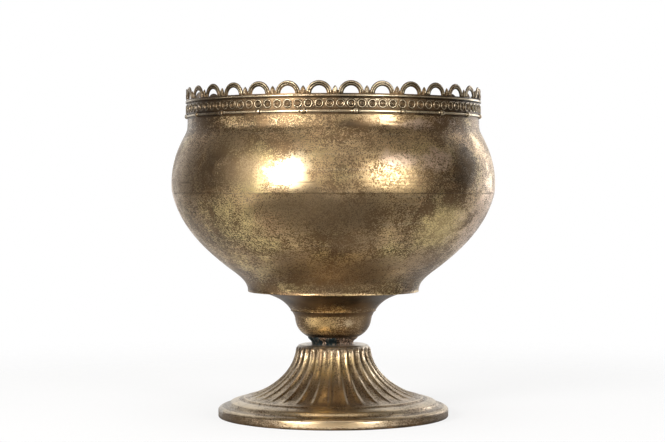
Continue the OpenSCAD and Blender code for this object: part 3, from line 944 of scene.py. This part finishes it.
def frosted(g, base, mark):
    """Pale dull grains on the outside of a piece."""
    frost = g.math("MULTIPLY", mark, g.outside())
    grains = g.noise(840, 4, 0.75, offset=12.0)
    grains = g.math("MULTIPLY", frost, g.ramp(grains, 0.51, 0.59))
    base = g.tint(base, DIRT, frost, 0.42)
    g.set(g.shader.inputs["Metallic"], g.span(grains, 1.0, 0.35))
    return g.tint(base, FROST, grains, 0.74)


def aged_brass(name, marks, tone=0.0, cover=(0.18, 0.90), metals=(BRASS, BROWN), olive=0.6, copper=0.6,
               streaks=1.0, grain_scale=1.0):
    """Dark patina over brass: patches, peppering, turning streaks, pits and rubbed edges, with the
    painted shade, reflection and highlights that some wear values and marks carry.
    """
    g = Finish(name)
    g.shader.inputs["Metallic"].default_value = 1.0
    patches = g.noise(16, 5, 0.62, 0.7, offset=1.0 + tone)
    clouds = g.noise(62, 6, 0.68, 0.5, offset=4.0 + tone)
    crumbs = g.noise(470 * grain_scale, 5, 0.72, 1.4, stretch=(0.85, 0.85, 1.35), offset=6.0 + tone)
    fine = g.noise(1050 * grain_scale, 3, 0.72, 0.5, offset=2.0)
    rings = g.noise(1.0, 4, 0.6, 0.2, stretch=(14, 14, 430), offset=3.0)
    hue = g.noise(27, 4, 0.6, 0.6, offset=9.0 + tone)
    share = mark_shares(g, clouds, marks)

    metal = bare_metal(g, patches, rings, hue, metals, olive, copper, streaks)
    for kind, (colour, strength) in MARK_METALS.items():
        if kind in share:
            metal = g.tint(metal, colour, share[kind], strength)

    # Low wear darkens the metal with grime: patina in hollows, and painted shade where the shapes set
    # it, under the bowl's wire and on the foot's bottom edge.
    sunk = g.ramp(g.wear(), 0.50, 0.0)
    mottle = g.math("ADD", g.math("MULTIPLY", g.ramp(clouds, 0.32, 0.70), 0.60),
                    g.math("MULTIPLY", g.ramp(patches, 0.30, 0.70), 0.40))
    mottle = g.math("ADD", g.span(mottle, *cover), g.math("MULTIPLY", sunk, 0.75))
    for kind, change in MARK_COVERS.items():
        if kind in share:
            mottle = g.math("ADD", mottle, g.math("MULTIPLY", share[kind], change))
    # High wear brightens the metal as rubbed brass, and as painted reflection on the foot's top edge.
    rubbed = g.math("MULTIPLY", g.ramp(g.wear(), 0.5, 1.0), 0.8)
    # Polish marks make the metal brighter and cleaner; on the bowl's belly this is a painted highlight
    # where the left key lamp's highlight falls.
    if "polish_and_highlight" in share:
        rubbed = g.math("MAXIMUM", rubbed, g.math("MULTIPLY", share["polish_and_highlight"], 0.52))
    mottle = g.math("SUBTRACT", mottle, g.math("MULTIPLY", rubbed, 0.60))
    dark = speckle(g, mottle, fine, crumbs, share)

    bright = g.mix(share["gilt"], GOLD, GILT) if "gilt" in share else GOLD
    base = g.tint(metal, bright, rubbed, 0.80)
    base = g.tint(base, GRIME_AND_SHADE, sunk, 0.85)
    depth = g.math("MULTIPLY", dark, 0.93)
    if "soft" in share:
        depth = g.math("MULTIPLY", depth, g.span(share["soft"], 1.0, 0.62))
    base = g.mix(depth, base, g.mix(g.ramp(clouds, 0.35, 0.65), DIRT, UMBER))
    for kind, (film, strength) in MARK_FILMS.items():
        if kind in share:
            base = g.tint(base, film, share[kind], strength)
    # The silver tint is partly painted reflection on the foot's top disc.
    if "silver" in share:
        base = g.tint(base, SILVER, share["silver"], 0.50)
    if "frost" in share:
        base = frosted(g, base, share["frost"])
    g.set(g.shader.inputs["Base Color"], base)

    dull = g.math("ADD", g.math("MULTIPLY", dark, 0.65), g.math("MULTIPLY", clouds, 0.35))
    g.set(g.shader.inputs["Roughness"], g.span(dull, 0.26, 0.46))
    soft = g.bump(patches, 0.0010, 0.30)
    skin = g.bump(clouds, 0.0004, 0.40, soft)
    pits = g.math("SUBTRACT", g.math("MULTIPLY", rings, 0.4 * streaks), dark)
    g.set(g.shader.inputs["Normal"], g.bump(pits, 0.00010, 0.5, skin))
    return g.material


def solder():
    """Dark oxidised solder with brown places."""
    g = Finish("solder_oxidised")
    clouds = g.noise(260, 5, 0.6, 0.6)
    grain = g.noise(900, 3, 0.6)
    base = g.mix(g.ramp(clouds, 0.50, 0.68), (0.012, 0.022, 0.025), (0.16, 0.13, 0.10))
    base = g.tint(base, DIRT, g.ramp(grain, 0.5, 0.7), 0.5)
    g.set(g.shader.inputs["Base Color"], base)
    g.shader.inputs["Metallic"].default_value = 0.8
    g.set(g.shader.inputs["Roughness"], g.span(grain, 0.40, 0.75))
    g.set(g.shader.inputs["Normal"], g.bump(clouds, 0.0006, 0.8))
    return g.material


def rough_brass():
    """Sandy cast surface, dark with light brown grains."""
    g = Finish("rough_collar")
    grain = g.noise(560, 4, 0.7, 0.8)
    clouds = g.noise(150, 4, 0.6, 0.4)
    base = g.mix(g.ramp(grain, 0.47, 0.58), (0.026, 0.018, 0.012), (0.56, 0.41, 0.31))
    base = g.tint(base, UMBER, g.ramp(clouds, 0.48, 0.64), 0.6)
    g.set(g.shader.inputs["Base Color"], base)
    g.shader.inputs["Metallic"].default_value = 0.85
    g.set(g.shader.inputs["Roughness"], g.span(clouds, 0.42, 0.66))
    g.set(g.shader.inputs["Normal"], g.bump(grain, 0.0004, 0.9))
    return g.material


def zinc_steel():
    """Zinc-plated steel with turning lines and dull spots."""
    g = Finish("zinc_plated_steel")
    clouds = g.noise(180, 5, 0.6, 0.3)
    lines = g.noise(1.0, 3, 0.6, stretch=(90, 90, 2400))
    base = g.mix(g.ramp(clouds, 0.35, 0.65), (0.42, 0.42, 0.41), (0.60, 0.60, 0.58))
    base = g.tint(base, (0.20, 0.18, 0.16), g.ramp(clouds, 0.60, 0.75), 0.5)
    g.set(g.shader.inputs["Base Color"], base)
    g.shader.inputs["Metallic"].default_value = 1.0
    g.set(g.shader.inputs["Roughness"], g.span(clouds, 0.28, 0.5))
    g.set(g.shader.inputs["Normal"], g.bump(lines, 0.00008, 0.5))
    return g.material


def rubber():
    """Matt black rubber."""
    g = Finish("seal_rubber_matt")
    grain = g.noise(900, 4, 0.6)
    base = g.mix(g.ramp(grain, 0.35, 0.65), (0.018, 0.018, 0.018), (0.040, 0.039, 0.037))
    g.set(g.shader.inputs["Base Color"], base)
    g.set(g.shader.inputs["Roughness"], g.span(grain, 0.6, 0.85))
    g.set(g.shader.inputs["Normal"], g.bump(grain, 0.0001, 0.4))
    return g.material


# Stage, light and camera

def stage_floor():
    """Pale floor that fades out into the white background, open under the foot's hollow."""
    mesh = bpy.data.meshes.new("floor")
    side, front, back = 1.2, -0.17, 1.4
    corners = [(-side, front, 0), (side, front, 0), (side, back, 0), (-side, back, 0)]
    mesh.from_pydata(corners, [], [(0, 1, 2, 3)])
    floor = bpy.data.objects.new("floor", mesh)
    bpy.context.scene.collection.objects.link(floor)
    floor.location.z = -0.0002
    g = Finish("floor_white")
    g.shader.inputs["Roughness"].default_value = 0.8
    g.shader.inputs["Specular IOR Level"].default_value = 0.2
    grain = g.noise(3, 2, 0.5)
    g.set(g.shader.inputs["Base Color"], g.mix(grain, (0.90, 0.90, 0.90), (0.93, 0.93, 0.93)))
    x, y, _ = g.split(g.place)
    away = g.math("SQRT", g.math("ADD", g.math("MULTIPLY", x, x), g.math("MULTIPLY", y, y)))
    far = g.ramp(away, 0.30, 0.80)
    near_edge = g.ramp(y, -0.150, -0.166)
    hollow = g.ramp(away, (FOOT_R - 0.4) * MM, (FOOT_R - 1.4) * MM)
    gone = g.add("ShaderNodeNewGeometry").outputs["Backfacing"]
    for part in (far, near_edge, hollow):
        gone = g.math("MAXIMUM", gone, part)
    white = g.add("ShaderNodeEmission")
    white.inputs["Strength"].default_value = 1.0
    pale = g.add("ShaderNodeMixShader")
    seen = g.add("ShaderNodeLightPath").outputs["Is Camera Ray"]
    g.set(pale.inputs[0], g.math("MULTIPLY", seen, 0.80))
    g.set(pale.inputs[1], g.shader.outputs["BSDF"])
    g.set(pale.inputs[2], white.outputs["Emission"])
    clear = g.add("ShaderNodeBsdfTransparent")
    blend = g.add("ShaderNodeMixShader")
    g.set(blend.inputs[0], gone)
    g.set(blend.inputs[1], pale.outputs["Shader"])
    g.set(blend.inputs[2], clear.outputs["BSDF"])
    g.set(g.out.inputs["Surface"], blend.outputs["Shader"])
    mesh.materials.append(g.material)


def studio_world():
    """White to the camera, a white wall behind the pot in its reflections, and a dim room in front."""
    world = bpy.data.worlds.new("studio")
    bpy.context.scene.world = world
    world.use_nodes = True
    g = Nodes(world.node_tree)
    _, y, z = g.split(g.add("ShaderNodeTexCoord").outputs["Generated"])
    raised = g.math("MULTIPLY", g.math("MAXIMUM", z, 0.0), 0.45)
    behind = g.ramp(g.math("ADD", raised, y), 0.68, 0.95)
    ray = g.add("ShaderNodeLightPath").outputs
    mirrored = g.math("ADD", ray["Is Glossy Ray"], ray["Is Transmission Ray"])
    white = g.math("ADD", ray["Is Camera Ray"], g.math("MULTIPLY", behind, mirrored))
    back = g.add("ShaderNodeBackground")
    g.set(back.inputs["Color"], g.mix(white, (0.24, 0.225, 0.21), (1, 1, 1)))
    g.set(g.add("ShaderNodeOutputWorld").inputs["Surface"], back.outputs["Background"])


TARGET = Vector((0, 0, 0.17))


def softbox(name, azimuth, elevation, distance, width, height, power, colour=(1, 1, 1)):
    """Area lamp aimed at the pot, in metres and watts. Azimuth 0 is the front and 90 the right."""
    a, e = math.radians(azimuth), math.radians(elevation)
    lamp = bpy.data.lights.new(name, "AREA")
    lamp.shape = "RECTANGLE"
    lamp.size = width
    lamp.size_y = height
    lamp.energy = power
    lamp.color = colour
    holder = bpy.data.objects.new(name, lamp)
    bpy.context.scene.collection.objects.link(holder)
    back = Vector((math.sin(a) * math.cos(e), -math.cos(a) * math.cos(e), math.sin(e)))
    holder.location = TARGET + back * distance
    holder.rotation_euler = back.to_track_quat("Z", "Y").to_euler()


def studio_lights():
    """Two keys at the front, a narrow light behind each edge and one above."""
    warm = (1.0, 0.99, 0.97)
    softbox("key_left", -36, 12.5, 2.2, 0.60, 0.95, 62, warm)
    softbox("key_right", 38, 9.5, 2.2, 0.66, 0.82, 25, warm)
    softbox("edge_right", 138, 7.5, 2.0, 0.28, 1.25, 8.5)
    softbox("edge_left", -140, 4, 2.2, 0.25, 1.0, 1.6)
    softbox("top", 0, 84, 2.0, 1.4, 1.4, 16)


def camera():
    """The photograph's view: a long lens, level with the bowl's belly."""
    data = bpy.data.cameras.new("camera")
    data.sensor_width = 36
    data.lens = 94.57
    holder = bpy.data.objects.new("camera", data)
    bpy.context.scene.collection.objects.link(holder)
    holder.location = (0, -1.472, 0.1885)
    tilt_down = 0.951
    turn_left = 0.026
    holder.rotation_euler = (math.radians(90 - tilt_down), 0, math.radians(turn_left))
    bpy.context.scene.camera = holder


# Assembly

def dress(piece, material, slot, *nodes):
    """Gives a piece its material and body, and hides the CAD nodes that it stands for. slot is not
    used.
    """
    piece.data.materials.clear()
    piece.data.materials.append(material)
    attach(piece, BODY)
    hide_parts(*nodes)


def finish_node(name, material):
    """Gives a carried-over CAD node its material."""
    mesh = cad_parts[name].data
    mesh.materials.clear()
    mesh.materials.append(material)


bpy.context.scene.view_settings.view_transform = "Standard"
camera()
studio_world()
studio_lights()
stage_floor()

# Marks by kind: angle from the front in degrees, height in mm, half width in degrees, half height in mm
ALL_ROUND = 400
BOWL_MARKS = {
    # Painted highlight: the polish patch at (-14, 207) whitens the belly where the left key lamp's
    # highlight falls.
    "polish_and_highlight": ((-14, 207, 7, 14),),
    "clean_and_highlight": (
        # Painted highlight: the clean mark at (25, 245) lightens the neck right of its highlight, so
        # that the highlight shows further right.
        (-8, 198, 9, 8), (-24, 110, 14, 5), (8, 246, 14, 4), (25, 245, 11, 6), (-36, 130, 16, 13),
        (38, 128, 13, 11)),
    "soft": ((-27, 206, 9, 16), (21, 199, 10, 10), (47, 162, 13, 18)),
    "olive": (
        (-40, 165, 12, 18), (-30, 145, 11, 9), (46, 160, 14, 22), (28, 138, 9, 8), (-25, 112, 14, 4),
        (-31, 199, 6, 9)),
    "amber": ((-32, 227, 4, 5), (4, 132, 16, 8), (12, 112, 12, 4)),
    "rose": (
        # Partly painted highlight: the rose mark at (34, 241) lightens the neck beside its right
        # highlight.
        (78, 166, 22, 36), (23, 214, 7, 6), (34, 241, 9, 4), (-84, 172, 9, 26), (37, 213, 7, 9),
        (46, 244, 6, 4)),
    "brown": (
        # Painted shade and dark reflection: the brown films at (0, 172) and (0, 121) darken the middle
        # of the lower shell's front, where it faces down and mirrors a dark room, and the one at (-62,
        # 205) darkens the upper shell's left side, where the left key lamp lights it.
        (0, 172, 22, 18), (8, 150, 10, 8), (-12, 178, 12, 7), (-19, 136, 9, 7), (22, 130, 18, 8),
        (-40, 226, 11, 10), (46, 134, 12, 9), (0, 121, 34, 13), (-62, 205, 14, 22), (-32, 207, 8, 14),
        # Painted shade: the brown film at (14, 244) darkens the neck left of its right highlight.
        (14, 244, 4, 6)),
    "etched": (
        (-38, 130, 34, 34), (34, 128, 34, 32), (0, 112, 60, 8), (27, 200, 9, 14), (-24, 150, 30, 12)),
    "gilt": ((0, FLOOR_Z + 1, ALL_ROUND, 3),),
    "dull": ((7, 241, 6, 3), (52, 207, 6, 16), (-43, 205, 9, 20)),
    "frost": ((-86, 243, 15, 11), (84, 250, 8, 10)),
    "scratch": (
        (26, 199, 4, 0.6), (29, 196, 3, 0.5), (21, 193, 4, 0.5), (-9, 196, 3, 0.5), (-21, 214, 3, 0.5),
        (24, 243, 4, 0.6), (28, 246, 3, 0.6), (19, 240, 3, 0.5), (-62, 196, 7, 0.6)),
}
GALLERY_MARKS = {
    "frost": ((-82, 258, 18, 15), (86, 262, 9, 10)),
    # Painted shade: the dull film at (-52, 258) darkens the gallery's left side, which falls in shade.
    "dull": ((-52, 258, 16, 18),),
}
CUP_MARKS = {
    "amber": ((-18, 80, 24, 8), (-4, 92, 32, 5), (4, 98, 20, 5)),
    "clean_and_highlight": ((-22, 80, 20, 5), (4, 97, 14, 4)),
    "rose": ((-62, 99, 16, 6), (66, 99, 14, 6)),
    "brown": ((-26, 99, 18, 5), (40, 82, 20, 14)),
    "dull": ((62, 80, 14, 8),),
    "polish_and_highlight": ((24, 80, 9, 3),),
}
FOOT_MARKS = {
    # Partly painted reflection: the silver tint on the top disc, besides bare metal under the washer,
    # stands in for the pale surroundings that it mirrors.
    "silver": ((0, FOOT_H, ALL_ROUND, 1.9),),
    "frost": ((-80, 8, 16, 4),),
    "soft": ((-8, 26, 16, 12),),
    "clean_and_highlight": ((-40, 44, 14, 12),),
    "dull": ((-60, 4, 34, 4), (64, 4, 24, 4)),
    "amber": ((3, 11.5, 18, 2), (-4, 45, 46, 9)),
    "gilt": ((-12, 32, 26, 16), (0, 4, 110, 4)),
    "polish_and_highlight": ((-5, 5, 22, 3), (0, 12, 40, 3)),
}

# The tone only moves the noise, so that no two pieces have the same patches
bowl_brass = aged_brass("aged_brass_bowl", BOWL_MARKS)
foot_brass = aged_brass(
    "aged_brass_foot", FOOT_MARKS, tone=2.7, cover=(0.05, 0.70), olive=0.15, copper=0.15, streaks=0.3,
    metals=((0.60, 0.475, 0.325), (0.415, 0.325, 0.225)))
cup_brass = aged_brass(
    "aged_brass_cup", CUP_MARKS, tone=5.1, cover=(0.32, 0.92), olive=0.3, grain_scale=1.15)
gallery_brass = aged_brass(
    "aged_brass_gallery", GALLERY_MARKS, tone=7.7, cover=(0.20, 0.85), olive=0.4, streaks=0.0,
    grain_scale=1.5, metals=((0.43, 0.345, 0.235), (0.235, 0.188, 0.12)))
collar_brass = rough_brass()

dress(bowl_upper_shell(), bowl_brass, "bowl_brass", "bowl_upper_shell")
dress(bowl_lower_shell(), bowl_brass, "bowl_brass", "bowl_lower_shell")
dress(pedestal_cup(), cup_brass, "cup_brass", "pedestal_cup")
dress(neck_collar(), collar_brass, "collar_brass", "neck_collar")
dress(collar_tacks(), solder(), "solder", "collar_tacks")
dress(fluted_foot(), foot_brass, "foot_brass", "fluted_foot")
dress(gallery_strip(), gallery_brass, "gallery_brass", "gallery_strip")
dress(knotted_wire(), gallery_brass, "gallery_brass", "knotted_wire")

steel = zinc_steel()
for hardware in ("tie_bolt", "bowl_washer", "foot_washer", "lock_washer", "foot_nut"):
    finish_node(hardware, steel)
finish_node("bowl_seal", rubber())
